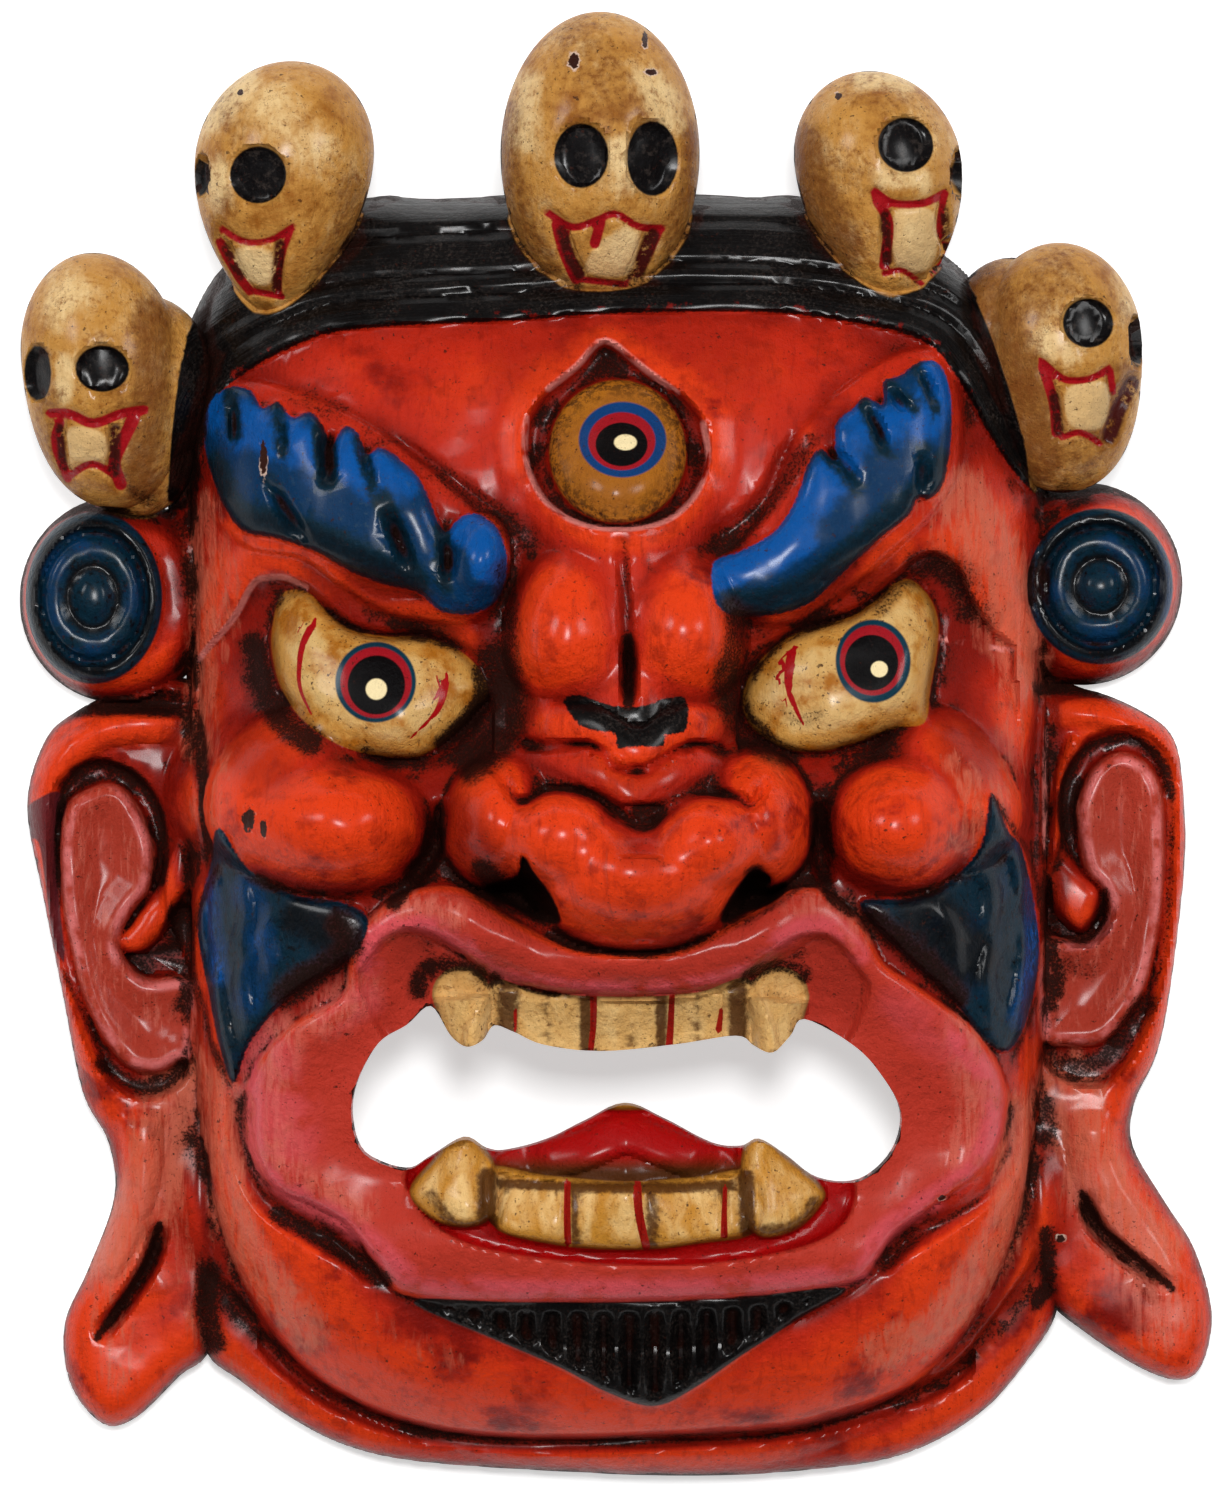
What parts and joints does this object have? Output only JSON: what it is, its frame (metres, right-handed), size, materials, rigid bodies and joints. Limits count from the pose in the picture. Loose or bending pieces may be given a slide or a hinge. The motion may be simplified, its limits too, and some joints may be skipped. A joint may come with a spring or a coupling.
{
  "type": "tibetan cham mask",
  "caption": "Carved and painted wooden dance mask of a wrathful three-eyed protector with a crown of skulls, worn over the face.",
  "frame": {"origin": "middle of the back rim's plane, on the surface that the mask lies on, midway across its width and height", "axes": "+X to the viewer's right, +Y towards the crown, +Z out of the face"},
  "size_m": [0.3001, 0.3666, 0.1071],
  "materials": {
    "painted_wood": "red, blue, black and bone paint under gloss varnish, with wear and grime in the recesses"
  },
  "bodies": {
    "root": {"mask": "painted_wood"}
  },
  "joints": []
}
